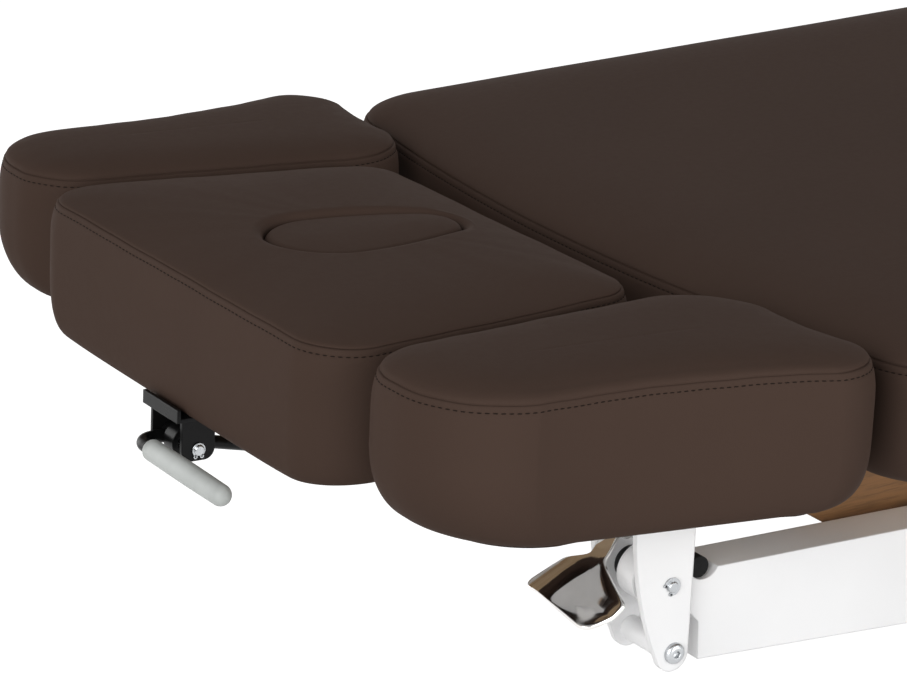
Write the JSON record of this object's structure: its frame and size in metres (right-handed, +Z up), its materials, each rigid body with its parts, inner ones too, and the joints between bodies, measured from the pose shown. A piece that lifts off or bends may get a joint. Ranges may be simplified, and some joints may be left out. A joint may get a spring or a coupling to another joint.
{
  "type": "electric massage table",
  "caption": "Height-adjustable massage table: padded top, tilting headrest with face plug, drop armrests, parallel-arm lift with linear actuator on a tube base.",
  "frame": {"origin": "on the floor, under the middle of the table's overall length and width", "axes": "+Z up, +X from the head end to the foot end, +Y to the user's left lying face up"},
  "size_m": [1.908, 0.8, 0.7583],
  "materials": {
    "vinyl": "satin",
    "plywood": "matte",
    "beech": "satin",
    "white_paint": "satin",
    "stainless": "polished",
    "zinc": "satin",
    "black_paint": "satin",
    "grey_grip": "matte",
    "black_plastic": "matte",
    "grey_plastic": "matte",
    "black_rubber": "matte"
  },
  "bodies": {
    "base": {"base_side_tubes": "white_paint", "base_cross_tubes": "white_paint", "base_end_caps": "black_plastic", "levelling_feet": "black_rubber", "base_pivot_ears": "white_paint", "base_pivot_pins": "zinc", "actuator_base_lugs": "white_paint", "actuator_base_pin": "zinc"},
    "front_arm": {"front_lift_arms": "white_paint", "front_arm_tube": "white_paint", "actuator_arm_pin": "zinc"},
    "rear_arm": {"rear_lift_arms": "white_paint", "rear_arm_tube": "white_paint"},
    "actuator": {"actuator_housing": "grey_plastic", "actuator_motor": "black_plastic"},
    "actuator_ram": {"actuator_rod": "zinc"},
    "frame": {"frame_pivot_ears": "white_paint", "frame_pivot_pins": "zinc", "frame_cross_tubes": "white_paint", "right_side_beam": "white_paint", "left_side_beam": "white_paint", "beam_end_caps": "black_plastic", "armrest_bushes": "black_plastic", "armrest_buffers": "black_rubber", "wood_rails": "beech", "main_cushion": "vinyl", "main_board": "plywood", "headrest_supports": "white_paint", "spring_lugs": "white_paint", "spring_pin": "zinc", "control_box": "grey_plastic", "control_box_inlet": "black_plastic"},
    "headrest": {"headrest_cushion": "vinyl", "headrest_board": "plywood", "headrest_hinge_arms": "white_paint", "headrest_hinge_pin": "zinc", "lever_bracket": "black_paint", "bracket_pin": "zinc", "bracket_screws": "zinc"},
    "plug": {"face_plug": "vinyl"},
    "lever": {"release_lever": "black_paint", "lever_grip": "grey_grip"},
    "gas_cylinder": {"gas_spring_cylinder": "black_paint"},
    "gas_rod": {"gas_spring_rod": "black_paint"},
    "right_armrest": {"right_armrest_cushion": "vinyl", "right_armrest_board": "plywood", "right_armrest_bracket_base": "white_paint", "right_fork_plates": "white_paint", "right_fork_pins": "zinc", "right_fork_spacer": "white_paint", "right_fork_bolt": "zinc"},
    "right_paddle": {"right_armrest_paddle": "stainless"},
    "left_armrest": {"left_armrest_cushion": "vinyl", "left_armrest_board": "plywood", "left_armrest_bracket_base": "white_paint", "left_fork_plates": "white_paint", "left_fork_pins": "zinc", "left_fork_spacer": "white_paint", "left_fork_bolt": "zinc"},
    "left_paddle": {"left_armrest_paddle": "stainless"}
  },
  "joints": [
    {"name": "lift", "type": "hinge", "parent": "base", "child": "front_arm", "pos_m": [0.2035, 0, 0.11], "axis": [0, 1, 0], "range_deg": [-16, 16]},
    {"name": "frame_level", "type": "hinge", "parent": "front_arm", "child": "frame", "pos_m": [-0.28799, 0, 0.45415], "axis": [0, 1, 0], "range_deg": [-16.5, 16.5]},
    {"name": "rear_arm_swing", "type": "hinge", "parent": "base", "child": "rear_arm", "pos_m": [0.7035, 0, 0.11], "axis": [0, 1, 0], "range_deg": [-16.5, 16.5]},
    {"name": "actuator_swing", "type": "hinge", "parent": "base", "child": "actuator", "pos_m": [-0.376, 0, 0.107], "axis": [0, 1, 0], "range_deg": [-1.24, 1.24]},
    {"name": "actuator_extend", "type": "slide", "parent": "actuator", "child": "actuator_ram", "axis": [0.9535, 0, 0.3015], "range_m": [-0.05043, 0.05043]},
    {"name": "headrest_tilt", "type": "hinge", "parent": "frame", "child": "headrest", "pos_m": [-0.631, 0, 0.58], "axis": [0, 1, 0], "range_deg": [-30, 5]},
    {"name": "gas_spring_swing", "type": "hinge", "parent": "frame", "child": "gas_cylinder", "pos_m": [-0.401, 0, 0.476], "axis": [0, 1, 0], "range_deg": [-16.41, 3.05]},
    {"name": "gas_spring_extend", "type": "slide", "parent": "gas_cylinder", "child": "gas_rod", "axis": [-0.9642, 0, 0.2652], "range_m": [-0.03623, 0.00673]},
    {"name": "face_plug_lift", "type": "slide", "parent": "headrest", "child": "plug", "axis": [0.0525, 0, 0.9986], "range_m": [0, 0.1]},
    {"name": "lever_pull", "type": "hinge", "parent": "headrest", "child": "lever", "pos_m": [-0.91555, 0, 0.61752], "axis": [0, 1, 0], "range_deg": [0, 15], "stiffness_Nm_per_rad": 0.8, "springref_deg": -8.59},
    {"name": "right_armrest_tilt", "type": "hinge", "parent": "frame", "child": "right_armrest", "pos_m": [-0.69396, -0.275, 0.562], "axis": [0, 1, 0], "range_deg": [-15, 0]},
    {"name": "right_paddle_squeeze", "type": "hinge", "parent": "right_armrest", "child": "right_paddle", "pos_m": [-0.70595, -0.275, 0.59498], "axis": [0, 1, 0], "range_deg": [0, 12], "stiffness_Nm_per_rad": 0.8, "springref_deg": 17.19},
    {"name": "left_armrest_tilt", "type": "hinge", "parent": "frame", "child": "left_armrest", "pos_m": [-0.69396, 0.275, 0.562], "axis": [0, 1, 0], "range_deg": [-15, 0]},
    {"name": "left_paddle_squeeze", "type": "hinge", "parent": "left_armrest", "child": "left_paddle", "pos_m": [-0.70595, 0.275, 0.59498], "axis": [0, 1, 0], "range_deg": [0, 12], "stiffness_Nm_per_rad": 0.8, "springref_deg": 17.19}
  ],
  "couplings": [
    {"joint": "frame_level", "follows": "lift", "ratio": -1},
    {"joint": "rear_arm_swing", "follows": "lift", "ratio": 1},
    {"joint": "actuator_swing", "follows": "lift", "ratio": -0.074376},
    {"joint": "actuator_extend", "follows": "lift", "m_per_rad": 0.17364},
    {"joint": "gas_spring_swing", "follows": "headrest_tilt", "ratio": 0.53445},
    {"joint": "gas_spring_extend", "follows": "headrest_tilt", "m_per_rad": 0.067606}
  ]
}
